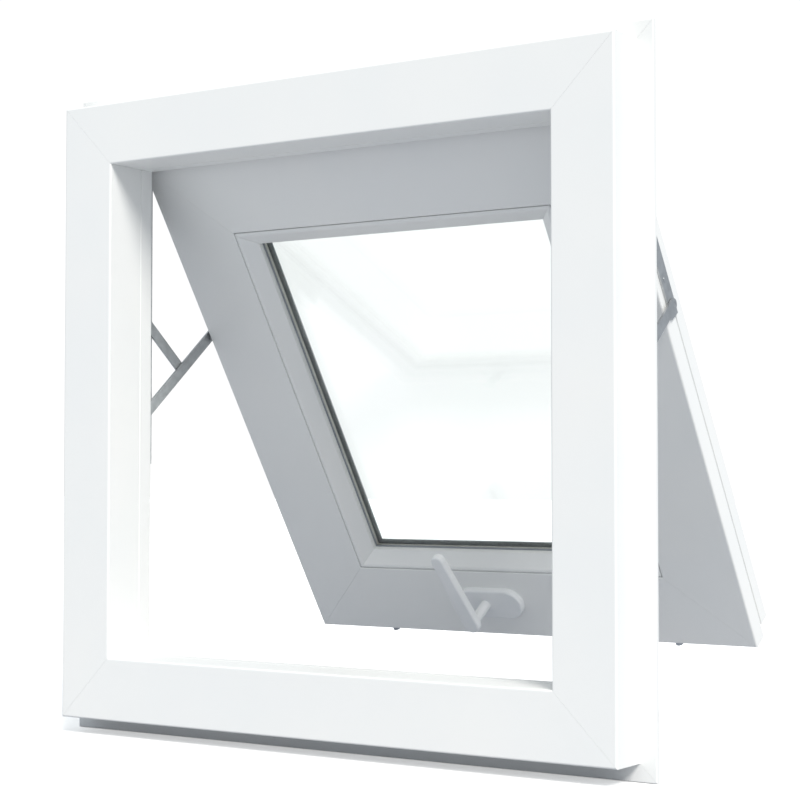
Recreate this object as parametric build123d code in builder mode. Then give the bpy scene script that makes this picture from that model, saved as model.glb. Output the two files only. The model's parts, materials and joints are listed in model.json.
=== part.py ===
from build123d import *
from math import asin, cos, degrees, pi, radians, sin
import os

# Top-hung opening window light: fixed outer frame, sash carried on scissor stays,
# lever handle that drives a locking rod.  Units are millimetres, +Z is up, +Y points
# outdoors.  The origin is the middle of the underside of the sill.

# ---- overall sizes ----
frame_w = 600.0             # width of the room-side face of the frame
frame_h = 590.0             # height of the room-side face
frame_face = 59.0           # face width of every frame bar
frame_depth = 60.0          # room face to weather face
front_y = -20.0             # room face of the frame
flange_out = 15.0           # how far the fixing flange stands out all round
flange_from = 40.0          # depth at which the flange starts
flange_thick = 5.0
wall = 2.8                  # plastic wall of the hollow frame bars

sash_side_lap = 18.0        # how far the shut sash laps over each jamb
sash_over = 9.0             # top edge of the shut sash above the room-side face
sash_low = 36.0             # bottom edge of the shut sash above the origin
sash_gap = 5.0              # weather face of the frame to room face of the shut sash
rail = 80.0                 # face width of every sash bar
room_layer = 19.0           # thickness of the room-side layer of the sash
groove_w = 2.0              # shadow groove between the two layers
sash_t = 36.0               # whole thickness of the sash
weather_inset = 13.0        # the weather layer stops short by this at top and bottom
open_deg = 33.0             # how far the sash stands open
sash_drop = 52.5            # how far the top shoes run down while it opens

# ---- stay geometry ----
pivot_down = 2.0            # top pivot below the top edge of the sash
pivot_in = 15.0             # stay line behind the room face of the sash
arm_down = 191.0            # long-arm pivot below the top pivot, along the sash
arm_len = 136.0             # long arm between its two end pivots
arm_w = 11.0
arm_t = 2.0
layer_gap = 0.3             # air between sheet-metal layers
pin_r = 2.5
pin_fit = 0.05

# ---- handle geometry ----
handle_x = -30.0            # spindle axis across the sash
handle_up = 43.0            # spindle axis above the bottom edge of the sash
plate_len = 76.0
plate_high = 34.0
plate_thick = 7.0
plate_shift = 4.0           # middle of the plate beside the spindle axis
neck_r = 5.5
neck_fit = 0.05
lever_from = 36.0           # near face of the lever bar off the sash face
lever_thick = 8.0
lever_root_r = 9.0
lever_tip_r = 7.0
lever_reach = 79.0          # spindle axis to the middle of the lever tip
lever_lean = 10.0           # lean of the lever from straight up, in degrees
pinion_r = 10.0

# ---- derived places ----
sash_w = frame_w - 2 * (frame_face - sash_side_lap)
sash_h = frame_h + sash_over - sash_low
lean = radians(open_deg)
weather_y = front_y + frame_depth
stay_y = weather_y + sash_gap + pivot_in
pivot_up = sash_h - pivot_down
pivot_z = sash_low + pivot_up - sash_drop
sash_y = stay_y + pivot_up * sin(lean) - pivot_in * cos(lean)
sash_z = pivot_z - pivot_up * cos(lean) - pivot_in * sin(lean)
swing = asin(arm_down * sin(lean) / arm_len)
arm_y = stay_y + arm_down * sin(lean)
arm_z = pivot_z - arm_down * cos(lean)
half_arm = arm_len / 2
mid_y = (arm_y + stay_y) / 2
mid_z = arm_z - half_arm * cos(swing)
low_z = arm_z - arm_len * cos(swing)
front = Plane(origin=(0, front_y, 0), x_dir=(1, 0, 0), z_dir=(0, -1, 0))
sash = Plane(origin=(0, sash_y, sash_z), x_dir=(1, 0, 0), z_dir=(0, -cos(lean), -sin(lean)))
half_w = sash_w / 2
os.makedirs("parts", exist_ok=True)


def save(part, name):
    """Label one finished sub-part and write it."""
    part.label = name
    export_step(part, "parts/" + name + ".step")


def side_axes(box, side):
    """Start corner, running direction, inward direction and length of one side of a ring."""
    x0, x1, y0, y1 = box
    table = {
        "bottom": ((x1, y0), (-1, 0), (0, 1), x1 - x0),
        "top": ((x0, y1), (1, 0), (0, -1), x1 - x0),
        "left": ((x0, y0), (0, 1), (1, 0), y1 - y0),
        "right": ((x1, y1), (0, -1), (-1, 0), y1 - y0),
    }
    return table[side]


def at(host, x, y, z=0.0):
    """World point of local coordinates on a plane."""
    return host.from_local_coords(Vector(x, y, z))


def direction(host, x, y, z=0.0):
    """World direction of a local direction on a plane."""
    return at(host, x, y, z) - at(host, 0, 0, 0)


def bar(host, box, side, outline, voids, over=0.0, mitred=True, trim=0.0):
    """Extrude a bar section along one side of a ring and cut its ends to the corners."""
    (cx, cy), along, inward, run = side_axes(box, side)
    run_dir = direction(host, *along)
    in_dir = direction(host, *inward)
    start = at(host, cx - along[0] * (over - trim), cy - along[1] * (over - trim))
    length = run + 2 * (over - trim)
    with BuildPart() as piece:
        with BuildSketch(Plane(origin=start, x_dir=in_dir, z_dir=run_dir)):
            with BuildLine():
                Polyline(*outline, close=True)
            make_face()
            for void in voids:
                with BuildLine():
                    Polyline(*void, close=True)
                make_face(mode=Mode.SUBTRACT)
        extrude(amount=length)
        if mitred:
            near = at(host, cx, cy)
            far = at(host, cx + along[0] * run, cy + along[1] * run)
            split(bisect_by=Plane(origin=near, z_dir=run_dir - in_dir), keep=Keep.TOP)
            split(bisect_by=Plane(origin=far, z_dir=-run_dir - in_dir), keep=Keep.TOP)
    return piece.part


def rect(w0, w1, d0, d1):
    """Corner points of a rectangle in a bar section."""
    return [(w0, d0), (w1, d0), (w1, d1), (w0, d1)]


def tube(w0, w1, d0, d1, thick):
    """Outline and void of a rectangular tube in a bar section."""
    return rect(w0, w1, d0, d1), [rect(w0 + thick, w1 - thick, d0 + thick, d1 - thick)]


def rivets(pins):
    """Round pins across the stay layers, each from one X to another at a place (y, z)."""
    with BuildPart() as piece:
        for x_from, x_to, y, z in pins:
            step = 1 if x_to > x_from else -1
            with BuildSketch(Plane(origin=(x_from, y, z), z_dir=(step, 0, 0))):
                Circle(pin_r)
            extrude(amount=abs(x_to - x_from))
    return piece.part


sides = ("bottom", "top", "left", "right")
frame_names = ("frame_sill", "frame_head", "frame_jamb_left", "frame_jamb_right")
frame_box = (-frame_w / 2, frame_w / 2, 0.0, frame_h)
sash_box = (-half_w, half_w, 0.0, sash_h)

# ---- outer frame: four mitred hollow bars with a fixing flange ----
line_at = 43.0              # fine reveal line in the inner edge
line_w = 1.2
line_deep = 0.6
rib_a = 10.0                # depth of the first web behind the room face
rib_b = 48.0                # depth of the second web
flange_to = flange_from + flange_thick
frame_outline = [
    (0, 0), (frame_face, 0),
    (frame_face, line_at), (frame_face - line_deep, line_at),
    (frame_face - line_deep, line_at + line_w), (frame_face, line_at + line_w),
    (frame_face, frame_depth), (0, frame_depth),
    (0, flange_to), (-flange_out, flange_to),
    (-flange_out, flange_from), (0, flange_from),
]
frame_voids = [
    rect(wall, frame_face - wall, wall, rib_a),
    rect(wall, frame_face - wall, rib_a + wall, rib_b),
    rect(wall, frame_face - wall, rib_b + wall, frame_depth - wall),
]
fix_hole_r = 2.25           # screw holes through the side flanges
fix_low = 60.0
fix_high = frame_h - 60.0
fix_x = frame_w / 2 + flange_out / 2
for side, name in zip(sides, frame_names):
    member = bar(front, frame_box, side, frame_outline, frame_voids, over=flange_out + 1)
    with BuildPart() as drilled:
        add(member)
        if side in ("left", "right"):
            with BuildSketch(front.offset(1 - flange_from)):
                with Locations(*[(x, z) for x in (-fix_x, fix_x) for z in (fix_low, fix_high)]):
                    Circle(fix_hole_r)
            extrude(amount=-flange_thick - 2, mode=Mode.SUBTRACT)
    save(drilled.part, name)

# ---- galvanised reinforcement tubes inside the frame bars ----
steel_gap = 1.0
steel_wall = 1.5
steel_in = 14.0
steel_out = 45.0
steel_near = rib_a + wall + steel_gap
steel_far = rib_b - steel_gap
outline, voids = tube(steel_in, steel_out, steel_near, steel_far, steel_wall)
for side, name in zip(sides, frame_names):
    steel = bar(front, frame_box, side, outline, voids, mitred=False, trim=frame_face + 2)
    save(steel, name + "_steel")

# ---- weather gasket: one closed ring on the weather face ----
gasket_h = 4.5
gasket_w = 4.0
gasket_lap = 11.0           # outer edge of the ring beyond the inner edge of each jamb
gasket_low = 45.0
gasket_drop = 53.5          # top of the ring below the top of the room-side face
gasket_x = frame_w / 2 - frame_face + gasket_lap
gasket_top = frame_h - gasket_drop
weather = Plane(origin=(0, weather_y, 0), x_dir=(1, 0, 0), z_dir=(0, -1, 0))
ring_mid = (gasket_low + gasket_top) / 2
ring_high = gasket_top - gasket_low
with BuildPart() as frame_gasket:
    with BuildSketch(weather):
        with Locations((0, ring_mid)):
            RectangleRounded(2 * gasket_x, ring_high, gasket_w)
            RectangleRounded(
                2 * (gasket_x - gasket_w), ring_high - 2 * gasket_w, gasket_w / 2, mode=Mode.SUBTRACT
            )
    extrude(amount=-gasket_h)
save(frame_gasket.part, "frame_gasket")

# ---- sash: four mitred hollow bars in two layers ----
lip = 18.0                  # outer glazing lip beyond the rebate floor
lip_from = 32.0
cell_wall = 3.5
groove_deep = 2.0
room_void = rect(5.0, rail - cell_wall, cell_wall, room_layer - 2.0)
weather_void = rect(weather_inset + 4.0, rail - cell_wall, room_layer + groove_w + 1.5, sash_t - 3.0)
sash_voids = [room_void, weather_void]
glazing_edge = [(rail, 0), (rail, lip_from), (rail + lip, lip_from), (rail + lip - 5.0, sash_t)]
groove_top = room_layer + groove_w
stile_outline = [
    (0, 0), *glazing_edge, (0, sash_t),
    (0, groove_top), (groove_deep, groove_top), (groove_deep, room_layer), (0, room_layer),
]
rail_outline = [
    (0, 0), *glazing_edge, (weather_inset, sash_t), (weather_inset, room_layer), (0, room_layer),
]
for side, name in (("left", "sash_stile_left"), ("right", "sash_stile_right")):
    stile = bar(sash, sash_box, side, stile_outline, sash_voids, over=1.0)
    with BuildPart() as trimmed:
        add(stile)
        for v0 in (-1.0, sash_h - weather_inset):
            with BuildSketch(sash.offset(-room_layer)):
                with Locations((0, v0)):
                    Rectangle(sash_w + 2, weather_inset + 1, align=(Align.CENTER, Align.MIN))
            extrude(amount=-sash_t, mode=Mode.SUBTRACT)
    save(trimmed.part, name)
save(bar(sash, sash_box, "top", rail_outline, sash_voids, over=1.0), "sash_top_rail")

# The bottom rail carries the rod groove, the rack slot and the spindle hole.
rod_w = 10.0
rod_t = 2.0
rod_in = 11.0               # middle of the rod behind the room face
rod_side_gap = 0.4
rod_up = 0.3
rod_len = 420.0
travel_open = 10.0          # lever travel beyond rest, in degrees
travel_lock = 80.0
rack_half = 26.0
slot_x = handle_x + pinion_r * radians(travel_lock - travel_open) / 2
slot_len = 2 * rack_half + pinion_r * radians(travel_lock + travel_open) + 3.0
groove_len = rod_len + 40.0
bottom = bar(sash, sash_box, "bottom", rail_outline, sash_voids, over=1.0)
with BuildPart() as sash_bottom_rail:
    add(bottom)
    with BuildSketch(sash.offset(-rod_in)):
        Rectangle(groove_len, rod_t + 2 * rod_up, align=(Align.CENTER, Align.MIN))
    extrude(amount=rod_w / 2 + rod_side_gap, both=True, mode=Mode.SUBTRACT)
    with BuildSketch(sash.offset(-rod_in)):
        with Locations((slot_x, 0)):
            Rectangle(slot_len, 6.0, align=(Align.CENTER, Align.MIN))
    extrude(amount=3.2, both=True, mode=Mode.SUBTRACT)
    with BuildSketch(sash.offset(1.0)):
        with Locations((handle_x, handle_up)):
            Circle(neck_r + 1.0)
    extrude(amount=-cell_wall - 1.5, mode=Mode.SUBTRACT)
save(sash_bottom_rail.part, "sash_bottom_rail")

sash_names = ("sash_bottom_rail", "sash_top_rail", "sash_stile_left", "sash_stile_right")
outline, voids = tube(weather_inset + 6.0, rail - 6.0, groove_top + 2.3, sash_t - 3.8, 1.2)
for side, name in zip(sides, sash_names):
    save(bar(sash, sash_box, side, outline, voids, mitred=False, trim=rail + 2), name + "_steel")

# ---- double glazing: two panes, spacer bar, edge seal, gaskets and packers ----
glass_edge = 86.0           # pane edge measured in from the sash edge
pane_t = 4.0
pane_from = 17.0
cavity = 6.0
spacer_band = 6.0
seal_band = 3.0
pane_w = sash_w - 2 * glass_edge
pane_h = sash_h - 2 * glass_edge


def ring(depth_from, depth_to, margin_out, margin_in):
    """Flat rectangular ring in the sash plane between two margins and two depths."""
    with BuildPart() as piece:
        with BuildSketch(sash.offset(-depth_from)):
            with Locations((0, sash_h / 2)):
                Rectangle(sash_w - 2 * margin_out, sash_h - 2 * margin_out)
                Rectangle(sash_w - 2 * margin_in, sash_h - 2 * margin_in, mode=Mode.SUBTRACT)
        extrude(amount=depth_from - depth_to)
    return piece.part


for name, depth in (("glass_inner_pane", pane_from), ("glass_outer_pane", pane_from + pane_t + cavity)):
    with BuildPart() as pane:
        with BuildSketch(sash.offset(-depth)):
            with Locations((0, sash_h / 2)):
                Rectangle(pane_w, pane_h)
        extrude(amount=-pane_t)
    save(pane.part, name)
cavity_from = pane_from + pane_t
cavity_to = cavity_from + cavity
seal_in = glass_edge + seal_band
pane_to = cavity_to + pane_t
save(ring(cavity_from, cavity_to, glass_edge, seal_in), "glazing_edge_seal")
save(ring(cavity_from, cavity_to, seal_in, seal_in + spacer_band), "glazing_spacer")
save(ring(pane_from - 1.0, pane_from, rail + 12.0, rail + 17.5), "glazing_gasket_inner")
save(ring(pane_to, lip_from, rail + 11.0, rail + 16.5), "glazing_gasket_outer")
with BuildPart() as glazing_packers:
    for px in (-130.0, 130.0):
        for v0 in (rail, sash_h - glass_edge):
            with BuildSketch(sash.offset(-pane_from)):
                with Locations((px, v0)):
                    Rectangle(60.0, glass_edge - rail, align=(Align.CENTER, Align.MIN))
            extrude(amount=pane_from - pane_to)
save(glazing_packers.part, "glazing_packers")

# ---- glazing beads: bevelled strips that hold the panes ----
bead_gap = 0.8              # shadow gap between the rail face and the bead
bead_w = 18.0
bead_to = 16.0
bead_nose = 10.5
b0 = rail + bead_gap
b1 = rail + bead_w
bead_outline = [(b0, 0.8), (b0 + 1.6, 0), (b0 + 4.0, 0.6), (b1, bead_nose), (b1, bead_to), (b0, bead_to)]
bead_voids = [[(b0 + 2.5, 4.5), (b1 - 3.0, 12.0), (b1 - 3.0, 13.5), (b0 + 2.5, 13.5)]]
for side in sides:
    save(bar(sash, sash_box, side, bead_outline, bead_voids), "glazing_bead_" + side)

# ---- stay tracks: folded aluminium profile on each side of the weather face ----
bar_x = half_w + arm_t
long_x = bar_x + layer_gap
short_x = long_x + arm_t + layer_gap
shoe_x = short_x + arm_t + layer_gap
shoe_t = 2.9
web_x = shoe_x + shoe_t + layer_gap
web_t = 2.0
shut_low_z = sash_low + pivot_up - arm_down - arm_len
track_low = shut_low_z - 26.0
track_high = sash_low + sash_h + 4.0
track_base = 21.0
track_lip = 2.2             # return lips that keep the shoes in
shoe_half = 8.0
lip_gap = 0.3
base_t = 2.5
lip_near = stay_y - shoe_half - lip_gap
lip_far = stay_y + shoe_half + lip_gap
track_end = lip_far + web_t
for side, s in (("left", -1), ("right", 1)):
    with BuildPart() as track:
        with BuildSketch(Plane.XY.offset(track_low)):
            with BuildLine():
                Polyline(
                    (s * (web_x + track_base), weather_y), (s * web_x, weather_y),
                    (s * web_x, lip_near - web_t), (s * (web_x - track_lip), lip_near - web_t),
                    (s * (web_x - track_lip), lip_near), (s * web_x, lip_near),
                    (s * web_x, lip_far), (s * (web_x - track_lip), lip_far),
                    (s * (web_x - track_lip), track_end), (s * (web_x + web_t), track_end),
                    (s * (web_x + web_t), weather_y + base_t),
                    (s * (web_x + track_base), weather_y + base_t),
                    close=True,
                )
            make_face()
        extrude(amount=track_high - track_low)
    save(track.part, "stay_track_" + side)

screw_r = 2.1
screw_head_r = 3.9
screw_head_t = 1.6
track_screw_x = web_x + 13.0
with BuildPart() as track_screws:
    for s in (-1, 1):
        for z in (track_low + 20.0, (track_low + track_high) / 2, track_high - 20.0):
            with BuildSketch(Plane.XZ.offset(-weather_y - base_t)):
                with Locations((s * track_screw_x, z)):
                    Circle(screw_head_r)
            extrude(amount=-screw_head_t)
save(track_screws.part, "track_screws")

# ---- sash bars with their pivots, screws and rivets ----
bar_low = pivot_up - arm_down - 12.0
bar_high = sash_h + 5.0
pin_hole = pin_r + pin_fit
arm_up = pivot_up - arm_down
sash_screw_ups = (arm_up + 25.0, arm_up + 70.0, arm_up + 120.0, sash_h - 30.0)
for side, s in (("left", -1), ("right", 1)):
    flat = Plane(origin=at(sash, s * half_w, 0, -pivot_in), x_dir=direction(sash, 0, 0, -1), z_dir=(s, 0, 0))
    with BuildPart() as stay_bar:
        with BuildSketch(flat):
            with Locations((0, s * (bar_low + bar_high) / 2)):
                Rectangle(arm_w + 3.0, bar_high - bar_low)
            with Locations((0, s * pivot_up), (0, s * arm_up)):
                Circle(pin_hole, mode=Mode.SUBTRACT)
        extrude(amount=arm_t)
    save(stay_bar.part, "stay_bar_" + side)
with BuildPart() as stay_bar_screws:
    for s in (-1, 1):
        for up in sash_screw_ups:
            with BuildSketch(Plane(origin=at(sash, s * bar_x, up, -pivot_in), z_dir=(s, 0, 0))):
                Circle(screw_r + 0.6)
            extrude(amount=0.2)
save(stay_bar_screws.part, "stay_bar_screws")
bar_pins = []
for s in (-1, 1):
    bar_pins.append((s * (half_w + 0.1), s * (long_x + arm_t - 0.1), arm_y, arm_z))
    bar_pins.append((s * (half_w + 0.1), s * (shoe_x + shoe_t), stay_y, pivot_z))
save(rivets(bar_pins), "stay_bar_rivets")

# ---- top shoes: run down the tracks while the sash swings out ----
top_shoe_h = 40.0
top_block = shoe_half + 2.0
for side, s in (("left", -1), ("right", 1)):
    with BuildPart() as top_shoe:
        with BuildSketch(Plane(origin=(s * shoe_x, stay_y, pivot_z), x_dir=(0, 1, 0), z_dir=(s, 0, 0))):
            RectangleRounded(2 * shoe_half, top_shoe_h, 2.0)
        extrude(amount=shoe_t)
        with BuildSketch(Plane(origin=(s * long_x, stay_y, pivot_z), x_dir=(0, 1, 0), z_dir=(s, 0, 0))):
            RectangleRounded(arm_w, top_shoe_h / 2, 2.0)
        extrude(amount=shoe_x - long_x)
        with BuildSketch(Plane(origin=(s * bar_x, stay_y, pivot_z), z_dir=(s, 0, 0))):
            Circle(pin_hole)
        extrude(amount=shoe_x + shoe_t - bar_x + 1, mode=Mode.SUBTRACT)
    save(top_shoe.part, "top_shoe_" + side)


def link(s, x_in, y0, z0, y1, z1, holes):
    """Flat round-ended link between two pivots with round holes through it."""
    run = ((y1 - y0) ** 2 + (z1 - z0) ** 2) ** 0.5
    middle = (s * x_in, (y0 + y1) / 2, (z0 + z1) / 2)
    with BuildPart() as piece:
        with BuildSketch(Plane(origin=middle, x_dir=(0, y1 - y0, z1 - z0), z_dir=(s, 0, 0))):
            SlotCenterToCenter(run, arm_w)
        extrude(amount=arm_t)
        for y, z in holes:
            with BuildSketch(Plane(origin=(s * (x_in - 1), y, z), z_dir=(s, 0, 0))):
                Circle(pin_hole)
            extrude(amount=arm_t + 2, mode=Mode.SUBTRACT)
    return piece.part


# ---- scissor stays: long arm, short arm and the two sliding shoes ----
small_half = 5.0
small_len = 34.0
for side, s in (("left", -1), ("right", 1)):
    arm_ends = [(arm_y, arm_z), (mid_y, mid_z), (stay_y, low_z)]
    save(link(s, long_x, arm_y, arm_z, stay_y, low_z, arm_ends), "long_arm_" + side)
    save(link(s, short_x, mid_y, mid_z, stay_y, arm_z, arm_ends[1:2] + [(stay_y, arm_z)]), "short_arm_" + side)
    pin_end = s * (shoe_x + shoe_t - 0.2)
    long_pins = [
        (s * (long_x + 0.1), s * (short_x + arm_t), mid_y, mid_z),
        (s * (long_x + 0.1), pin_end, stay_y, low_z),
    ]
    save(rivets(long_pins), "long_arm_rivets_" + side)
    save(rivets([(s * (short_x + 0.1), pin_end, stay_y, arm_z)]), "short_arm_rivet_" + side)
    for name, z, inner in (("high_shoe_", arm_z, shoe_x), ("low_shoe_", low_z, short_x)):
        with BuildPart() as shoe:
            with BuildSketch(Plane(origin=(s * shoe_x, stay_y, z), x_dir=(0, 1, 0), z_dir=(s, 0, 0))):
                RectangleRounded(2 * small_half, small_len, 1.5)
            extrude(amount=shoe_t)
            if inner < shoe_x:
                with BuildSketch(Plane(origin=(s * inner, stay_y, z), z_dir=(s, 0, 0))):
                    Circle(small_half)
                extrude(amount=shoe_x - inner)
            with BuildSketch(Plane(origin=(s * (inner - 1), stay_y, z), z_dir=(s, 0, 0))):
                Circle(pin_hole)
            extrude(amount=shoe_x + shoe_t + 1 - inner + 1, mode=Mode.SUBTRACT)
        save(shoe.part, name + side)

# ---- handle: base plate, lever with round neck, spindle, pinion and gear case ----
plate_x = handle_x + plate_shift
with BuildPart() as handle_plate:
    with BuildSketch(sash):
        with Locations((plate_x, handle_up)):
            SlotOverall(plate_len, plate_high)
    extrude(amount=plate_thick)
    fillet(handle_plate.faces().sort_by(Axis((0, 0, 0), sash.z_dir))[-1].edges(), radius=2.0)
    with BuildSketch(sash):
        with Locations((handle_x, handle_up)):
            Circle(neck_r + neck_fit)
    extrude(amount=plate_thick + 1, mode=Mode.SUBTRACT)
save(handle_plate.part, "handle_plate")
lever_dir = radians(90 + lever_lean)
tip_x = handle_x + lever_reach * cos(lever_dir)
tip_up = handle_up + lever_reach * sin(lever_dir)
with BuildPart() as handle_lever:
    with BuildSketch(sash.offset(lever_from)):
        with Locations((handle_x, handle_up)):
            Circle(lever_root_r)
        with Locations((tip_x, tip_up)):
            Circle(lever_tip_r)
        make_hull()
    extrude(amount=lever_thick)
    fillet(handle_lever.faces().sort_by(Axis((0, 0, 0), sash.z_dir))[-1].edges(), radius=2.2)
    fillet(handle_lever.faces().sort_by(Axis((0, 0, 0), sash.z_dir))[0].edges(), radius=1.0)
    with BuildSketch(sash.offset(0.5)):
        with Locations((handle_x, handle_up)):
            Circle(neck_r)
    extrude(amount=lever_from + 1.0)
save(handle_lever.part, "handle_lever")

spindle_side = 7.0
spindle_fit = 0.05
spindle_end = 16.6
with BuildPart() as handle_spindle:
    with BuildSketch(sash.offset(0.45)):
        with Locations((handle_x, handle_up)):
            Rectangle(spindle_side, spindle_side)
    extrude(amount=-spindle_end)
save(handle_spindle.part, "handle_spindle")

# Straight-flanked teeth, kept narrow so that pinion and rack run with free play.
teeth = 10
gear_half = 2.7             # half the width of pinion and rack along the spindle
pitch = 2 * pi * pinion_r / teeth
add_up = 1.5                # tooth tip beyond the pitch line
add_down = 2.1              # tooth root short of the pitch line
tooth_root = 1.7            # half widths of a pinion tooth at root, pitch line and tip
tooth_mid = 1.25
tooth_tip = 0.6
with BuildPart() as drive_pinion:
    with BuildSketch(sash.offset(gear_half - rod_in)):
        with Locations((handle_x, handle_up)):
            Circle(pinion_r - add_down)
        for k in range(teeth):
            turn = 2 * pi * k / teeth - pi / 2
            flank = []
            for r, half in (
                (pinion_r - add_down - 0.5, tooth_root), (pinion_r, tooth_mid),
                (pinion_r + add_up, tooth_tip), (pinion_r + add_up, -tooth_tip),
                (pinion_r, -tooth_mid), (pinion_r - add_down - 0.5, -tooth_root),
            ):
                px = handle_x + r * cos(turn) - half * sin(turn)
                flank.append((px, handle_up + r * sin(turn) + half * cos(turn)))
            with BuildLine():
                Polyline(*flank, close=True)
            make_face()
        with Locations((handle_x, handle_up)):
            Rectangle(spindle_side + 2 * spindle_fit, spindle_side + 2 * spindle_fit, mode=Mode.SUBTRACT)
    extrude(amount=-2 * gear_half)
save(drive_pinion.part, "drive_pinion")

case_w = 22.0
case_low = 24.0
case_high = 62.0
case_near = 4.0
case_far = 16.8
case_wall = 1.6
case_pillar = 6.0
with BuildPart() as gear_case:
    with BuildSketch(sash.offset(-case_near)):
        with Locations((handle_x, case_low)):
            Rectangle(2 * case_w, case_high - case_low, align=(Align.CENTER, Align.MIN))
    extrude(amount=case_near - case_far)
    with BuildSketch(sash.offset(-case_near - case_wall)):
        with Locations((handle_x, case_low - 1)):
            Rectangle(2 * (case_w - case_pillar), case_high - case_low + 2, align=(Align.CENTER, Align.MIN))
        with Locations((handle_x, case_low - 1)):
            Rectangle(2 * case_w + 2, 14.0, align=(Align.CENTER, Align.MIN))
    extrude(amount=case_near - case_far + 2 * case_wall, mode=Mode.SUBTRACT)
    with BuildSketch(sash.offset(-case_near + 1)):
        with Locations((handle_x, handle_up)):
            Circle(spindle_side * 0.75)
    extrude(amount=case_near - case_far - 2, mode=Mode.SUBTRACT)
save(gear_case.part, "gear_case")

# ---- locking rod with its rack, the two cams and the keeps on the sill ----
cam_x = 170.0
cam_r = 4.0
cam_down = 8.0
rack_line = handle_up - pinion_r
rack_half_tip = 0.65
rack_half_root = 1.85
with BuildPart() as lock_rod:
    with BuildSketch(sash.offset(rod_w / 2 - rod_in)):
        with Locations((0, rod_up)):
            Rectangle(rod_len, rod_t, align=(Align.CENTER, Align.MIN))
    extrude(amount=-rod_w)
    with BuildSketch(sash.offset(gear_half - rod_in)):
        with Locations((handle_x, rod_up)):
            Rectangle(2 * rack_half, rack_line - add_down - rod_up, align=(Align.CENTER, Align.MIN))
        for k in range(-4, 4):
            tx = handle_x + (k + 0.5) * pitch
            low = rack_line - add_down - 0.2
            with BuildLine():
                Polyline(
                    (tx - rack_half_root, low), (tx + rack_half_root, low),
                    (tx + rack_half_tip, rack_line + add_up), (tx - rack_half_tip, rack_line + add_up),
                    close=True,
                )
            make_face()
    extrude(amount=-2 * gear_half)
save(lock_rod.part, "lock_rod")
down = direction(sash, 0, -1, 0)
with BuildPart() as lock_cams:
    for x in (-cam_x, cam_x):
        with BuildSketch(Plane(origin=at(sash, x, rod_up - 0.05, -rod_in), z_dir=down)):
            Circle(cam_r)
        extrude(amount=cam_down + rod_up - 0.05)
save(lock_cams.part, "lock_cams")

lock_shift = pinion_r * radians(travel_lock)
keep_half = 5.5
keep_t = 2.0
cam_y = weather_y + sash_gap + rod_in
keep_lip_near = cam_y + cam_r + 0.4
keep_arm_z = sash_low - cam_down - 2.5
keep_top = sash_low - 3.8
keep_low = 5.0
keep_base_half = 15.0
with BuildPart() as lock_keeps:
    for x in (-cam_x, cam_x):
        kx = x + lock_shift
        with BuildSketch(weather):
            with Locations((kx, keep_low)):
                Rectangle(2 * keep_base_half, keep_arm_z - keep_low, align=(Align.CENTER, Align.MIN))
        extrude(amount=-keep_t)
        with BuildSketch(Plane.XY.offset(keep_arm_z - keep_t)):
            with Locations((kx, weather_y)):
                Rectangle(
                    2 * keep_half, keep_lip_near + keep_t - weather_y, align=(Align.CENTER, Align.MIN)
                )
        extrude(amount=keep_t)
        with BuildSketch(Plane.XY.offset(keep_arm_z - keep_t)):
            with Locations((kx, keep_lip_near)):
                Rectangle(2 * keep_half, keep_t, align=(Align.CENTER, Align.MIN))
        extrude(amount=keep_top - keep_arm_z + keep_t)
save(lock_keeps.part, "lock_keeps")
with BuildPart() as keep_screws:
    for x in (-cam_x, cam_x):
        for dx in (-10.0, 10.0):
            with BuildSketch(weather.offset(-keep_t)):
                with Locations((x + lock_shift + dx, (keep_low + keep_arm_z) / 2)):
                    Circle(screw_head_r)
            extrude(amount=-screw_head_t)
save(keep_screws.part, "keep_screws")
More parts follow.
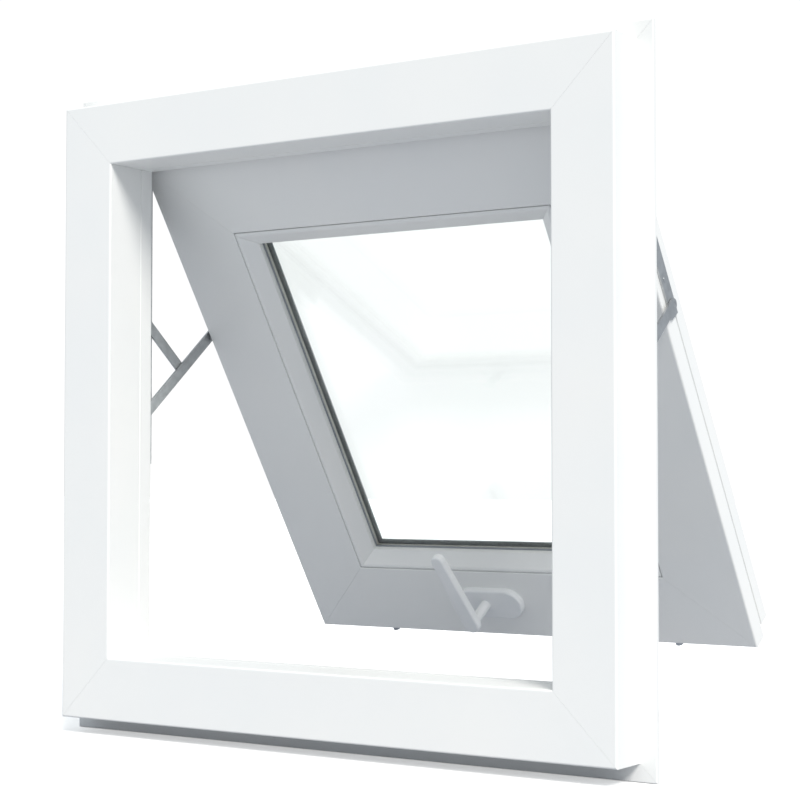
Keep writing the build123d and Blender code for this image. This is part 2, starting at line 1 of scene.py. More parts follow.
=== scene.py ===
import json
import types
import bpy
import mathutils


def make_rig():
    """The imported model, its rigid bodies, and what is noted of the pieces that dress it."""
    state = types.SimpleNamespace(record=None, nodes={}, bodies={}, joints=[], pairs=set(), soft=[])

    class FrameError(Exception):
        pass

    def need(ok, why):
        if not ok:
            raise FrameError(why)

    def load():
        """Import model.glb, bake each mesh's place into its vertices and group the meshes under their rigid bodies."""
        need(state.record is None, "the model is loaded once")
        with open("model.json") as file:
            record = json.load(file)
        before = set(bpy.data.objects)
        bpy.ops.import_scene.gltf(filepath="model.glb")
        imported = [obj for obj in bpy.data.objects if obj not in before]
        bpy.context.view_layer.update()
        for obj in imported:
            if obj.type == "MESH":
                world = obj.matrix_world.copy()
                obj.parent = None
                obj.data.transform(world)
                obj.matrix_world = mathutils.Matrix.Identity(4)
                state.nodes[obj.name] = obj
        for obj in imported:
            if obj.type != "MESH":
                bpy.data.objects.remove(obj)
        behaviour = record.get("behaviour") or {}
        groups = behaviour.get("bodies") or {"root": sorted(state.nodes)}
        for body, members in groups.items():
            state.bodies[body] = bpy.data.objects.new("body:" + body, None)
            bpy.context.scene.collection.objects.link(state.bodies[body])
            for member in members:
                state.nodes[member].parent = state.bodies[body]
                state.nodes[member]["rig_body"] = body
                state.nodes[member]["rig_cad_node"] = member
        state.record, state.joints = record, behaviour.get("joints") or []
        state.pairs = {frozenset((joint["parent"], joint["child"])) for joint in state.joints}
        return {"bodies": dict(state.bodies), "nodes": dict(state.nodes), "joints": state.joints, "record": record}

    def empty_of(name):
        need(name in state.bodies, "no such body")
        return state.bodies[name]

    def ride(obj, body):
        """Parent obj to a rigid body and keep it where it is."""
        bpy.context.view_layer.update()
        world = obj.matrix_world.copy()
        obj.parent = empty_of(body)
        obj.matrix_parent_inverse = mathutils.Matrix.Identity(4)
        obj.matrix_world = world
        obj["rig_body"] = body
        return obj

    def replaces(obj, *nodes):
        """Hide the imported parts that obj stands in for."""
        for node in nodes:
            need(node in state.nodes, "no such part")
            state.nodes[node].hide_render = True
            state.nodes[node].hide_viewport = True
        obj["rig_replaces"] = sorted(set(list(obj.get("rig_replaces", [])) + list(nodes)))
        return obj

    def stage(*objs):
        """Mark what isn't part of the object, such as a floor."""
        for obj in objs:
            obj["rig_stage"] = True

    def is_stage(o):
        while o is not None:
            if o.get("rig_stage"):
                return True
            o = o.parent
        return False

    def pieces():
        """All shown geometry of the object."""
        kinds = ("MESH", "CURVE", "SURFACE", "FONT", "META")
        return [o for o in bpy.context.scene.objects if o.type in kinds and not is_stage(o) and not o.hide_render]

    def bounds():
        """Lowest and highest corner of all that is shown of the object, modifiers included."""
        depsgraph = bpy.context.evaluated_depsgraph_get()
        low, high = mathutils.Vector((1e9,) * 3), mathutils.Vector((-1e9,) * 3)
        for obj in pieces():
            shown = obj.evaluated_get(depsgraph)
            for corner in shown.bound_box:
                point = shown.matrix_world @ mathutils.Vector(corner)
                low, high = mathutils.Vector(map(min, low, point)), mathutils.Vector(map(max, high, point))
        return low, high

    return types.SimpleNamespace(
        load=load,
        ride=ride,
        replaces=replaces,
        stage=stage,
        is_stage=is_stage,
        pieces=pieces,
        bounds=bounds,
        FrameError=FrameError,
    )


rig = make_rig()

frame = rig.load()

# %% [markdown]
# # A top-hung window in white extruded plastic
# The solids come from the CAD frame, already in place.  What is left for this lesson is
# the look: the satin skin of extruded plastic, the clear glazing, the rubber seals and
# the bright hardware.  First the outer box is kept, so the finished model can be
# compared with the solids it started from.

# %% Keep the size of the solids
import json
import math
import bmesh
import bpy
import numpy as np
from mathutils import Vector
cad_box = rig.bounds()
print("solids measure", cad_box)

# %% [markdown]
# Colours are picked as the hex values a paint chart gives.  Shaders work in linear
# light, so one function turns a hex value into linear numbers.

# %% Hex colours to linear light
def linear(hex_value, alpha=1.0):
    """Each channel c of 0..1 becomes c/12.92 below 0.04045, else ((c+0.055)/1.055)^2.4."""
    c = np.array([int(hex_value[i:i + 2], 16) for i in (1, 3, 5)]) / 255.0
    low = c / 12.92
    high = ((c + 0.055) / 1.055) ** 2.4
    return (*np.where(c <= 0.04045, low, high).tolist(), alpha)


print("white plastic in linear light", linear("#f2f3f1"))

# %% [markdown]
# A material is a small graph of nodes.  One helper adds any node, sets its properties
# and sockets, and draws its links, so every finish below reads as a short recipe.

# %% One helper for every node
def node(tree, kind, props=None, links=None, **values):
    """Add a node of this kind, set properties, socket values and incoming links."""
    made = tree.nodes.new(kind)
    for key, value in (props or {}).items():
        setattr(made, key, value)
    for key, value in values.items():
        made.inputs[key.replace("_", " ")].default_value = value
    for key, source in (links or {}).items():
        tree.links.new(source, made.inputs[key])
    return made


def finish_named(name):
    """Start an empty material with its output, and its Object coordinates."""
    made = bpy.data.materials.new(name)
    made.use_nodes = True
    made.node_tree.nodes.clear()
    tree = made.node_tree
    place = node(tree, "ShaderNodeTexCoord").outputs["Object"]
    return made, tree, place


def close_with(tree, shader):
    """Send a finished shader to the surface."""
    node(tree, "ShaderNodeOutputMaterial", links={"Surface": shader.outputs[0]})


def ramp(tree, source, stops):
    """A colour ramp with the given (position, hex) stops."""
    made = node(tree, "ShaderNodeValToRGB", links={"Fac": source})
    for i, (spot, colour) in enumerate(stops):
        point = made.color_ramp.elements[i] if i < 2 else made.color_ramp.elements.new(spot)
        point.position = spot
        point.color = linear(colour)
    return made.outputs["Color"]


print("helpers ready")

# %% [markdown]
# **Extruded rigid PVC.**  The bars are pushed through a polished die and shine softly.
# Up close the skin has faint lines along the draw and a very slight waviness, and the
# white drifts by a hair from place to place.  Noise stretched along the bar gives the
# die lines; a second, broad noise gives the waviness that makes reflections roll.

# %% Extruded white plastic
def extruded_plastic(name, along, tint, rough):
    """Satin PVC with die lines stretched along one axis, about 1.5 mm apart."""
    made, tree, place = finish_named(name)
    stretch = [700.0, 700.0, 700.0]
    stretch[along] = 12.0
    drawn = node(tree, "ShaderNodeMapping", links={"Vector": place}, Scale=stretch)
    lines = node(tree, "ShaderNodeTexNoise", links={"Vector": drawn.outputs[0]}, Scale=1.0, Detail=3.0)
    broad = node(tree, "ShaderNodeTexNoise", links={"Vector": place}, Scale=9.0, Detail=2.0)
    fine = node(tree, "ShaderNodeTexNoise", links={"Vector": place}, Scale=1400.0, Detail=2.0)
    colour = ramp(tree, broad.outputs["Fac"], [(0.3, tint[0]), (0.7, tint[1])])
    gloss = node(tree, "ShaderNodeMapRange", links={"Value": lines.outputs["Fac"]},
                 To_Min=rough - 0.05, To_Max=rough + 0.07)
    wavy = node(tree, "ShaderNodeBump", links={"Height": broad.outputs["Fac"]},
                Strength=0.10, Distance=0.0012)
    drawn_in = node(tree, "ShaderNodeBump", Strength=0.12, Distance=0.00004,
                    links={"Height": lines.outputs["Fac"], "Normal": wavy.outputs[0]})
    grain = node(tree, "ShaderNodeBump", Strength=0.10, Distance=0.00002,
                 links={"Height": fine.outputs["Fac"], "Normal": drawn_in.outputs[0]})
    shader = node(tree, "ShaderNodeBsdfPrincipled", IOR=1.53,
                  links={"Base Color": colour, "Roughness": gloss.outputs[0], "Normal": grain.outputs[0]})
    close_with(tree, shader)
    return made


skin = ("#f3f4f2", "#f6f6f3")
pvc_level = extruded_plastic("extruded_pvc_drawn_level", 0, skin, 0.34)
pvc_upright = extruded_plastic("extruded_pvc_drawn_upright", 2, skin, 0.34)
print("two extruded finishes:", pvc_level.name, pvc_upright.name)

# %% [markdown]
# **Powder coat** on the handle: die-cast metal sprayed and baked.  It shines a little
# more than the plastic, with a fine orange-peel of about 1 mm.

# %% Powder-coated handle
def powder_coat(name, tint, rough, coat):
    """White baked powder: orange-peel bump about 1 mm across, under a thin clear gloss."""
    made, tree, place = finish_named(name)
    peel = node(tree, "ShaderNodeTexNoise", links={"Vector": place}, Scale=900.0, Detail=1.5)
    broad = node(tree, "ShaderNodeTexNoise", links={"Vector": place}, Scale=40.0, Detail=2.0)
    colour = ramp(tree, broad.outputs["Fac"], [(0.3, tint[0]), (0.7, tint[1])])
    gloss = node(tree, "ShaderNodeMapRange", links={"Value": broad.outputs["Fac"]},
                 To_Min=rough - 0.04, To_Max=rough + 0.05)
    bump = node(tree, "ShaderNodeBump", links={"Height": peel.outputs["Fac"]},
                Strength=0.15, Distance=0.00005)
    shader = node(tree, "ShaderNodeBsdfPrincipled", IOR=1.5, Coat_Weight=coat, Coat_Roughness=0.12,
                  links={"Base Color": colour, "Roughness": gloss.outputs[0], "Normal": bump.outputs[0]})
    close_with(tree, shader)
    return made


handle_coat = powder_coat("powder_coated_die_casting", ("#eef0f0", "#f4f5f5"), 0.30, 0.25)
print("handle finish:", handle_coat.name)

# %% [markdown]
# **Metals.**  Stay arms are stainless strip, brushed along their length; the lock parts
# are zinc plated, a cloudier and slightly blue metal; the tracks are aluminium straight
# from the press.  Each is one recipe with its own colours, and the scratches are noise
# drawn out along one direction.

# %% Brushed and plated metals
def worn_metal(name, tint, rough, stretch, scratch):
    """Metal whose roughness and bump follow noise drawn out along one direction."""
    made, tree, place = finish_named(name)
    drawn = node(tree, "ShaderNodeMapping", links={"Vector": place}, Scale=stretch)
    lines = node(tree, "ShaderNodeTexNoise", links={"Vector": drawn.outputs[0]}, Scale=1.0, Detail=4.0)
    cloud = node(tree, "ShaderNodeTexNoise", links={"Vector": place}, Scale=120.0, Detail=3.0)
    colour = ramp(tree, cloud.outputs["Fac"], [(0.3, tint[0]), (0.7, tint[1])])
    gloss = node(tree, "ShaderNodeMapRange", links={"Value": lines.outputs["Fac"]},
                 To_Min=rough - 0.08, To_Max=rough + 0.12)
    bump = node(tree, "ShaderNodeBump", links={"Height": lines.outputs["Fac"]},
                Strength=scratch, Distance=0.00003)
    shader = node(tree, "ShaderNodeBsdfPrincipled", Metallic=1.0,
                  links={"Base Color": colour, "Roughness": gloss.outputs[0], "Normal": bump.outputs[0]})
    close_with(tree, shader)
    return made


stay_steel = worn_metal("brushed_stainless_strip", ("#b9bbbc", "#c9cbcc"), 0.38, (900, 160, 160), 0.3)
zinc = worn_metal("bright_zinc_plate", ("#aab0b6", "#c2c7cb"), 0.34, (300, 300, 300), 0.15)
aluminium = worn_metal("mill_finish_aluminium", ("#bfc2c4", "#d0d2d3"), 0.42, (1200, 1200, 30), 0.35)
galvanised = worn_metal("galvanised_sheet", ("#9fa4a6", "#b8bcbe"), 0.46, (150, 150, 150), 0.2)
print("metals:", [m.name for m in (stay_steel, zinc, aluminium, galvanised)])

# %% [markdown]
# **Rubber, nylon and packer plastic** are moulded, matt and a little dusty.  Rubber
# drinks light, so its colour is dark and its grain is coarse.  The spacer between the
# panes is the same pale moulding as the shoes.

# %% Moulded rubber and plastics
def moulded(name, tint, rough, grain_mm, depth, ior):
    """Matt moulding whose grain is grain_mm across, with a slightly cloudy colour."""
    made, tree, place = finish_named(name)
    grain = node(tree, "ShaderNodeTexNoise", links={"Vector": place}, Scale=1000.0 / grain_mm, Detail=3.0)
    cloud = node(tree, "ShaderNodeTexNoise", links={"Vector": place}, Scale=60.0, Detail=2.0)
    colour = ramp(tree, cloud.outputs["Fac"], [(0.3, tint[0]), (0.7, tint[1])])
    gloss = node(tree, "ShaderNodeMapRange", links={"Value": grain.outputs["Fac"]},
                 To_Min=rough - 0.06, To_Max=rough + 0.08)
    bump = node(tree, "ShaderNodeBump", links={"Height": grain.outputs["Fac"]},
                Strength=0.25, Distance=depth)
    shader = node(tree, "ShaderNodeBsdfPrincipled", IOR=ior,
                  links={"Base Color": colour, "Roughness": gloss.outputs[0], "Normal": bump.outputs[0]})
    close_with(tree, shader)
    return made


seal_grey = moulded("grey_coextruded_seal", ("#8f9499", "#9da2a6"), 0.6, 0.8, 0.00004, 1.5)
rubber = moulded("extruded_epdm_rubber", ("#17181a", "#232426"), 0.72, 0.8, 0.00005, 1.5)
nylon = moulded("moulded_nylon", ("#d5d5cf", "#e2e2dc"), 0.48, 0.6, 0.00003, 1.53)
packer = moulded("moulded_packer_plastic", ("#39609a", "#426aa6"), 0.45, 0.6, 0.00003, 1.5)
print("mouldings:", rubber.name, nylon.name, packer.name)

# %% [markdown]
# **Float glass** is clear with a faint green cast that shows only in its thickness.

# %% Float glass
def float_glass(name):
    """Clear glass with a nearly white tint and a polish broken only by slight haze."""
    made, tree, place = finish_named(name)
    haze = node(tree, "ShaderNodeTexNoise", links={"Vector": place}, Scale=6.0, Detail=2.0)
    gloss = node(tree, "ShaderNodeMapRange", links={"Value": haze.outputs["Fac"]}, To_Min=0.0, To_Max=0.012)
    colour = ramp(tree, haze.outputs["Fac"], [(0.3, "#fbfefd"), (0.7, "#fdffff")])
    shader = node(tree, "ShaderNodeBsdfPrincipled", IOR=1.45, Transmission_Weight=1.0,
                  links={"Base Color": colour, "Roughness": gloss.outputs[0]})
    close_with(tree, shader)
    return made


glass = float_glass("clear_float_glass")
print("glass:", glass.name)

# %% [markdown]
# Now the solids get these finishes.  A rule for each family of names keeps the list
# short, and anything left over stops the lesson here rather than staying plain.

# %% Dress the solids
rules = [
    ("_steel", galvanised), ("glass_", glass), ("glazing_gasket", seal_grey), ("gasket", rubber),
    ("edge_seal", seal_grey),
    ("packers", packer), ("spacer", nylon), ("stay_track", aluminium),
    ("stay_bar", stay_steel), ("long_arm", stay_steel), ("short_arm", stay_steel),
    ("track_screws", zinc), ("keep_screws", zinc), ("shoe", nylon),
    ("handle_plate", handle_coat), ("handle_lever", handle_coat), ("handle_spindle", zinc),
    ("drive_pinion", zinc), ("gear_case", zinc), ("lock_", zinc),
    ("jamb", pvc_upright), ("stile", pvc_upright), ("bead_left", pvc_upright),
    ("bead_right", pvc_upright), ("frame_", pvc_level), ("sash_", pvc_level), ("glazing_bead", pvc_level),
]


def dress(obj, material):
    """Put one finish in every slot of an object."""
    if not obj.material_slots:
        obj.data.materials.append(material)
    for place in obj.material_slots:
        place.material = material


nodes_done = {}
for name in frame["nodes"]:
    chosen = next(material for key, material in rules if key in name)
    dress(bpy.data.objects[name], chosen)
    nodes_done[name] = chosen.name
print(len(nodes_done), "solids dressed")

# %% [markdown]
# **Soft edges on the bars.**  An extruded bar never has a knife edge: the die rounds
# every outside corner by about a millimetre, and that thin round is what catches the
# light.  Each bar is drawn again as a profile carried along one side of a ring.  In the
# profile, w runs inwards from the outer edge and d runs outdoors from the room face.
# The ring is mitred, so a point at distance w starts w along the bar and ends w short.

# %% Round the corners of a profile
def rounded(profile, radii, steps=5):
    """Replace each corner by an arc of its radius: the arc's centre lies on the bisector
    at r / sin(half angle), and its ends lie r / tan(half angle) along the two sides.  One
    more point a little way along each flat holds the flat's shading flat."""
    p = np.array(profile, float)
    before, after = np.roll(p, 1, 0) - p, np.roll(p, -1, 0) - p
    before /= np.linalg.norm(before, axis=1, keepdims=True)
    after /= np.linalg.norm(after, axis=1, keepdims=True)
    r = np.array(radii, float)[:, None]
    half = np.arccos(np.clip((before * after).sum(1), -1, 1))[:, None] / 2
    middle = before + after
    middle /= np.linalg.norm(middle, axis=1, keepdims=True)
    centre = p + middle * r / np.sin(half)
    a = p + before * r / np.tan(half) - centre
    b = p + after * r / np.tan(half) - centre
    t = np.linspace(0, 1, steps)[None, :, None]
    total = math.pi - 2 * half[:, :, None]
    arc = (np.sin((1 - t) * total) * a[:, None] + np.sin(t * total) * b[:, None]) / np.sin(total)
    hold = np.minimum(0.35, r)
    points = np.concatenate([(a + centre + before * hold)[:, None], centre[:, None] + arc,
                             (b + centre + after * hold)[:, None]], axis=1).reshape(-1, 2)
    keep = np.linalg.norm(points - np.roll(points, 1, 0), axis=1) > 1e-6
    return points[keep]


print("a square with 1 mm corners has", len(rounded([(0, 0), (9, 0), (9, 9), (0, 9)], [1] * 4)), "points")

# %% A mesh from whole arrays
def surface(name, points, quads, material, smooth=True):
    """Points (n, 3) in metres and quads (m, 4) become one object at the origin."""
    mesh = bpy.data.meshes.new(name)
    mesh.from_pydata(points.tolist(), [], quads.tolist() if hasattr(quads, "tolist") else quads)
    mesh.polygons.foreach_set("use_smooth", np.full(len(mesh.polygons), smooth))
    mesh.update()
    obj = bpy.data.objects.new(name, mesh)
    bpy.context.scene.collection.objects.link(obj)
    mesh.materials.append(material)
    return obj


def tidy_normals(obj, angle_deg=30.0):
    """Merge doubles, turn every face outwards, and keep edges sharper than the angle crisp."""
    work = bmesh.new()
    work.from_mesh(obj.data)
    bmesh.ops.remove_doubles(work, verts=work.verts, dist=1e-7)
    bmesh.ops.recalc_face_normals(work, faces=work.faces)
    limit = math.radians(angle_deg)
    for edge in work.edges:
        if len(edge.link_faces) == 2:
            edge.smooth = edge.calc_face_angle(0.0) < limit
    work.to_mesh(obj.data)
    work.free()
    return obj


print("mesh helpers ready")

# %% [markdown]
# The frame stands upright, so its local axes are the world's.  The sash leans out by the
# opening angle about its top pivot.  Both are written as an origin and three directions:
# right, up along the face, and outdoors through the thickness.

# %% The frame's and the sash's own axes
MM = 0.001
open_deg = 33.0
front_y = -20.0
pivot_up = 561.0
pivot_in = 15.0
lean = math.radians(open_deg)
right = np.array([1.0, 0.0, 0.0])
upright = np.array([0.0, 0.0, 1.0])
outdoors = np.array([0.0, 1.0, 0.0])
frame_axes = (np.array([0.0, front_y, 0.0]), right, upright, outdoors)
sash_up = np.array([0.0, -math.sin(lean), math.cos(lean)])
sash_out = np.array([0.0, math.cos(lean), math.sin(lean)])
pivot = np.array([0.0, 60.0, 544.5])
sash_axes = (pivot - pivot_up * sash_up - pivot_in * sash_out, right, sash_up, sash_out)
print("foot of the open sash (mm)", np.round(sash_axes[0], 2))

# %% Carry a profile along one side of a mitred ring
def bar_mesh(axes, box, side, profile, step_at=None, weld=0.08):
    """Point (w, d) of the profile runs from w after the corner to w before the next one:
    position = corner + along * s + inward * w + outdoors * d, with s from w to run - w.
    The weld keeps a hair of air at the mitre, as the knifed corner of the real bar does."""
    origin, across, up, out = axes
    x0, x1, y0, y1 = box
    corner, along, inward, run = {
        "bottom": ((x1, y0), -across, up, x1 - x0), "top": ((x0, y1), across, -up, x1 - x0),
        "left": ((x0, y0), up, across, y1 - y0), "right": ((x1, y1), -up, -across, y1 - y0),
    }[side]
    base = origin + across * corner[0] + up * corner[1]
    w, d = profile[:, :1], profile[:, 1:]
    start = w if step_at is None else np.where(d > step_at[1], np.maximum(w, step_at[0]), w)
    start = start + weld
    rows = np.linspace(0, 1, 9)[:, None, None]
    s = start * (1 - rows) + (run - start) * rows
    points = (base + along * s + (inward * w + out * d)).reshape(-1, 3)
    count = len(profile)
    i = np.arange(count)
    j = np.arange(8)[:, None] * count
    quads = np.stack([j + i, j + (i + 1) % count, j + count + (i + 1) % count, j + count + i], -1)
    faces = quads.reshape(-1, 4).tolist() + [i[::-1].tolist(), (i + 8 * count).tolist()]
    return points, faces


def assemble(name, meshes, material, replaced=None):
    """Lay several point-and-face sets end to end as one object, in metres."""
    points, faces, base = [], [], 0
    for p, f in meshes:
        points.append(p)
        faces += [[k + base for k in face] for face in f]
        base += len(p)
    obj = tidy_normals(surface(name, np.concatenate(points) * MM, faces, material))
    if replaced:
        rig.replaces(obj, replaced)
    return obj


sides = ("bottom", "top", "left", "right")
print("sweep ready for", sides)

# %% [markdown]
# **Frame bars.**  The room face and reveal are one plain skin, broken only by a fine
# line two thirds of the way out; the fixing flange stands behind.

# %% The four frame bars
frame_w = 600.0
frame_h = 590.0
frame_face = 59
frame_depth = 60
flange_out = 15
flange_near = 40
flange_far = 45
frame_box = (-frame_w / 2, frame_w / 2, 0.0, frame_h)
frame_profile = rounded(
    [(0, 0), (frame_face, 0), (frame_face, 43), (58.4, 43), (58.4, 44.2), (frame_face, 44.2),
     (frame_face, frame_depth), (0, frame_depth), (0, flange_far), (-flange_out, flange_far),
     (-flange_out, flange_near), (0, flange_near)],
    [1.6, 1.6, 0.2, 0.1, 0.1, 0.2, 0.9, 0.6, 0.4, 0.7, 0.7, 0.5])
frame_parts = {"bottom": "frame_sill", "top": "frame_head",
               "left": "frame_jamb_left", "right": "frame_jamb_right"}
for side in sides:
    skin_of = pvc_upright if side in ("left", "right") else pvc_level
    bar = assemble(frame_parts[side] + "_skin", [bar_mesh(frame_axes, frame_box, side, frame_profile)],
                   skin_of, frame_parts[side])
    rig.ride(bar, "frame")
print("frame profile has", len(frame_profile), "points")

# %% [markdown]
# **Sash bars** are two layers with a shadow groove between them.  On the stiles the
# weather layer stops short at both ends, so the points of that layer start later.  The
# face has a point where the square end turns into the mitre, or the mitre would gape.

# %% The four sash bars
sash_w = 518.0
sash_h = 563.0
rail = 80
room_layer = 19
groove_far = 21
sash_t = 36
weather_inset = 13
sash_box = (-sash_w / 2, sash_w / 2, 0.0, sash_h)
glazed = [(rail, 0), (rail, 32), (98, 32), (93, sash_t)]
glazed_r = [1.2, 0.3, 0.9, 1.6]
stile_profile = rounded(
    [(0, 0), *glazed, (0, sash_t), (0, groove_far), (2, groove_far), (2, room_layer), (0, room_layer)],
    [1.8, *glazed_r, 1.4, 0.6, 0.3, 0.3, 0.6])
on_face = stile_profile[:, 1] > sash_t - 0.1
bend = int(np.argmax((stile_profile[:, 0] < weather_inset) & on_face))
stile_profile = np.insert(stile_profile, bend, (weather_inset, sash_t), axis=0)
inset = [(weather_inset, sash_t), (weather_inset, room_layer), (0, room_layer)]
top_profile = rounded([(0, 0), *glazed, *inset], [1.8, *glazed_r, 1.4, 0.4, 0.8])
bottom_profile = rounded(
    [(0, 0), *glazed, *inset, (0, 16.4), (2.6, 16.4), (2.6, 5.6), (0, 5.6)],
    [1.8, *glazed_r, 1.4, 0.4, 0.8, 0.4, 0.2, 0.2, 0.4])
stile_step = (float(weather_inset), 20.0)
for side, name, profile, step in (
    ("bottom", "sash_bottom_rail", bottom_profile, None), ("top", "sash_top_rail", top_profile, None),
    ("left", "sash_stile_left", stile_profile, stile_step),
    ("right", "sash_stile_right", stile_profile, stile_step),
):
    skin_of = pvc_upright if side in ("left", "right") else pvc_level
    bar = assemble(name + "_skin", [bar_mesh(sash_axes, sash_box, side, profile, step)], skin_of, name)
    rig.ride(bar, "sash")
print("stile profile has", len(stile_profile), "points")

# %% [markdown]
# **Beads, seals and gaskets.**  The bead clips in after the glass: a small round nose, a
# long bevel down to the pane and a shadow gap where it meets the bar.  The seals are
# soft lips, so their corners are rounder than anything else here.

# %% Beads and glazing seals
bead_profile = rounded(
    [(80.8, 0.8), (82.4, 0), (84.8, 0.6), (98, 10.5), (98, 16), (80.8, 16)],
    [0.3, 0.8, 1.6, 1.6, 0.4, 0.3])
for side in sides:
    skin_of = pvc_upright if side in ("left", "right") else pvc_level
    bead = assemble("bead_" + side, [bar_mesh(sash_axes, sash_box, side, bead_profile)],
                    skin_of, "glazing_bead_" + side)
    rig.ride(bead, "sash")
inner_lip = rounded([(92, 16.05), (98.1, 16.05), (98.1, 14.9), (99.4, 15.5), (99.4, 16.95), (92, 16.95)],
                    [0.2, 0.05, 0.3, 0.5, 0.2, 0.2])
outer_lip = rounded([(91, 31.05), (99.2, 31.05), (99.2, 32.4), (98.2, 32.9), (98.2, 31.95), (91, 31.95)],
                    [0.2, 0.3, 0.4, 0.3, 0.05, 0.2])
for name, profile in (("glazing_gasket_inner", inner_lip), ("glazing_gasket_outer", outer_lip)):
    lip = assemble(name + "_lip", [bar_mesh(sash_axes, sash_box, s, profile, weld=0.0) for s in sides],
                   seal_grey, name)
    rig.ride(lip, "sash")
print("beads and seals made")

# %% Weather seal on the frame
bulb_box = (-252.0, 252.0, 45.0, 536.5)
bulb = rounded([(0, 60.02), (4, 60.02), (4, 64.5), (0, 64.5)], [0.3, 0.3, 1.9, 1.9], steps=8)
seal = assemble("weather_bulb", [bar_mesh(frame_axes, bulb_box, s, bulb, weld=0.0) for s in sides],
                rubber, "frame_gasket")
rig.ride(seal, "frame")
print("weather seal profile has", len(bulb), "points")

# %% [markdown]
# **Screw heads** are turned shapes: a profile of radius and height spun about an axis.
# The pan heads have a round drive recess.

# %% Turned heads
def turned(centre, axis, radii, heights, count=32):
    """Ring k has radius radii[k] at heights[k] along the axis; both ends close on the axis."""
    axis = np.array(axis, float) / np.linalg.norm(axis)
    side_dir = np.cross(axis, right if abs(axis[0]) < 0.9 else np.array([0.0, 0.0, 1.0]))
    side_dir /= np.linalg.norm(side_dir)
    other = np.cross(axis, side_dir)
    t = np.arange(count) * 2 * math.pi / count
    circle = np.cos(t)[:, None] * side_dir + np.sin(t)[:, None] * other
    rings = np.array(radii)[:, None, None] * circle + np.array(heights)[:, None, None] * axis
    points = np.array(centre) + rings.reshape(-1, 3)
    i = np.arange(count)
    j = np.arange(len(radii) - 1)[:, None] * count
    quads = np.stack([j + i, j + (i + 1) % count, j + count + (i + 1) % count, j + count + i], -1)
    faces = quads.reshape(-1, 4).tolist()
    faces += [i[::-1].tolist(), (i + (len(radii) - 1) * count).tolist()]
    return points, faces


pan_r = np.array([3.9, 3.85, 3.5, 2.6, 1.7, 1.6, 1.2])
pan_h = np.array([0.0, 0.7, 1.2, 1.55, 1.6, 0.7, 0.5])
track_heads = [turned((s * 282.1, 42.5, z), (0, 1, 0), pan_r, pan_h)
               for s in (-1, 1) for z in (264.0, 423.5, 583.0)]
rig.ride(assemble("track_pan_heads", track_heads, zinc, "track_screws"), "frame")
keep_heads = [turned((x + 13.963 + dx, 42.0, 15.25), (0, 1, 0), pan_r, pan_h)
              for x in (-170, 170) for dx in (-10, 10)]
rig.ride(assemble("keep_pan_heads", keep_heads, zinc, "keep_screws"), "frame")
print("heads:", len(track_heads) + len(keep_heads))

# %% [markdown]
# **The room.**  A plain pale floor and a white surround, as in a product studio.  The
# main light is a soft, very distant sun to the right, a little in front and above, so
# faces turned to the right are the brightest and the upright frame is nearly white.  The
# sash hangs with its room face turned down and away from it, so only the dimmer, cooler
# light of the room reaches it.  The surround and the floor look white to the eye, but
# send less light back on to the object, which keeps that shade.

# %% How bright the surround and the floor are, to the eye and to the object
def seen_or_lit(tree, seen, lit):
    """Mix two shaders: the first where the eye looks straight or through glass, else the second."""
    path = node(tree, "ShaderNodeLightPath")
    either = node(tree, "ShaderNodeMath", {"operation": "MAXIMUM"},
                  {0: path.outputs["Is Camera Ray"], 1: path.outputs["Is Transmission Ray"]})
    return node(tree, "ShaderNodeMixShader",
                links={0: either.outputs[0], 1: lit.outputs[0], 2: seen.outputs[0]})


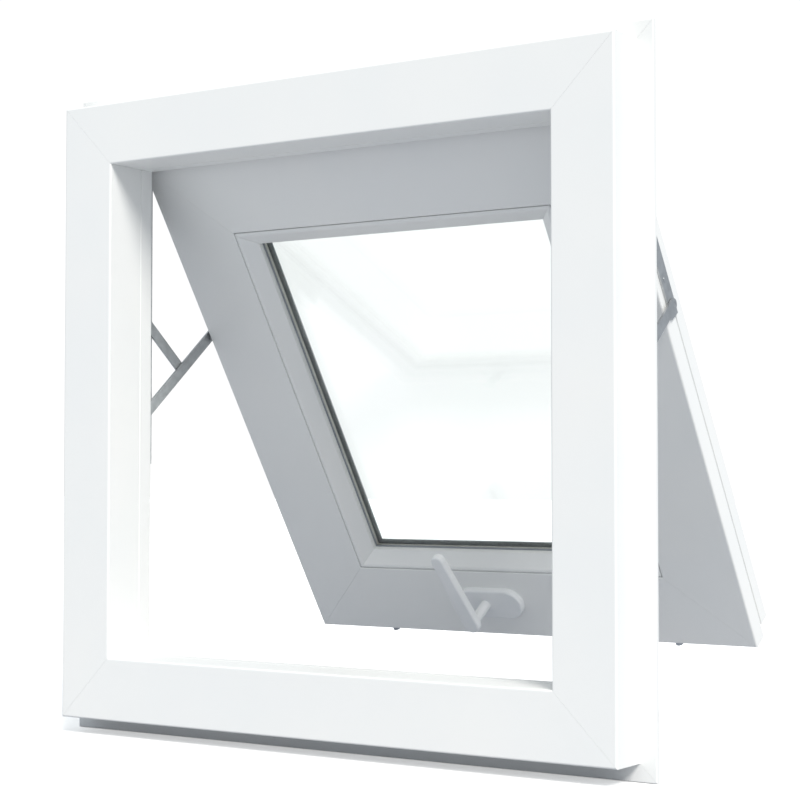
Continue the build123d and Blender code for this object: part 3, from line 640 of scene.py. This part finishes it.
floor_made, floor_tree, floor_place = finish_named("pale_floor")
dust = node(floor_tree, "ShaderNodeTexNoise", links={"Vector": floor_place}, Scale=3.0, Detail=2.0)
floor_colour = ramp(floor_tree, dust.outputs["Fac"], [(0.3, "#f7f7f6"), (0.7, "#fafaf9")])
matt = node(floor_tree, "ShaderNodeBsdfDiffuse", links={"Color": floor_colour})
glow = node(floor_tree, "ShaderNodeEmission", Strength=0.42, links={"Color": floor_colour})
pale = node(floor_tree, "ShaderNodeAddShader", links={0: matt.outputs[0], 1: glow.outputs[0]})
dim = node(floor_tree, "ShaderNodeBsdfDiffuse", Color=linear("#b0b2b8"))
close_with(floor_tree, seen_or_lit(floor_tree, pale, dim))
bpy.ops.mesh.primitive_plane_add(size=30.0, location=(0, 0, -0.0155))
floor = bpy.context.object
floor.name = "floor"
dress(floor, floor_made)
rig.stage(floor)

world = bpy.data.worlds.new("white_surround")
bpy.context.scene.world = world
world.use_nodes = True
world.node_tree.nodes.clear()
white = node(world.node_tree, "ShaderNodeBackground", Color=(1, 1, 1, 1), Strength=1.05)
room = node(world.node_tree, "ShaderNodeBackground", Color=(0.86, 0.93, 1.0, 1.0), Strength=0.62)
node(world.node_tree, "ShaderNodeOutputWorld",
     links={"Surface": seen_or_lit(world.node_tree, white, room).outputs[0]})
bpy.context.scene.view_settings.view_transform = "Standard"


def sun_from(name, toward, spread_deg, power, tint):
    """A very distant soft light that shines from a direction, spread over an angle."""
    data = bpy.data.lights.new(name, "SUN")
    data.angle = math.radians(spread_deg)
    data.energy = power
    data.color = tint
    lamp = bpy.data.objects.new(name, data)
    bpy.context.scene.collection.objects.link(lamp)
    lamp.rotation_euler = Vector(toward).to_track_quat("Z", "Y").to_euler()
    return lamp


sun_from("key", (0.56, -0.44, 0.70), 24.0, 3.1, (1.0, 0.975, 0.94))
print("lights ready")

# %% [markdown]
# **The camera** stands to the right of the window and looks slightly left and up, with
# a long lens, so upright lines stay nearly parallel.

# %% Camera
eye = bpy.data.cameras.new("eye")
eye.sensor_width = 36.0
eye.lens = 36.0 * 1900.98 / 800.0
camera = bpy.data.objects.new("eye", eye)
bpy.context.scene.collection.objects.link(camera)
camera.location = (1.00068, -1.36974, 0.23272)
camera.rotation_euler = (math.pi / 2 + 0.0395, 0.0, 0.5918)
bpy.context.scene.camera = camera
print("lens", round(eye.lens, 1), "mm")

# %% [markdown]
# Last, the finished model's box is written beside the solids' box.

# %% Keep both sizes and finish
with open("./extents.json", "w") as out:
    json.dump({"cad": [list(map(float, v)) for v in cad_box],
               "visual": [list(map(float, v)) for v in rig.bounds()]}, out)
print(open("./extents.json").read())
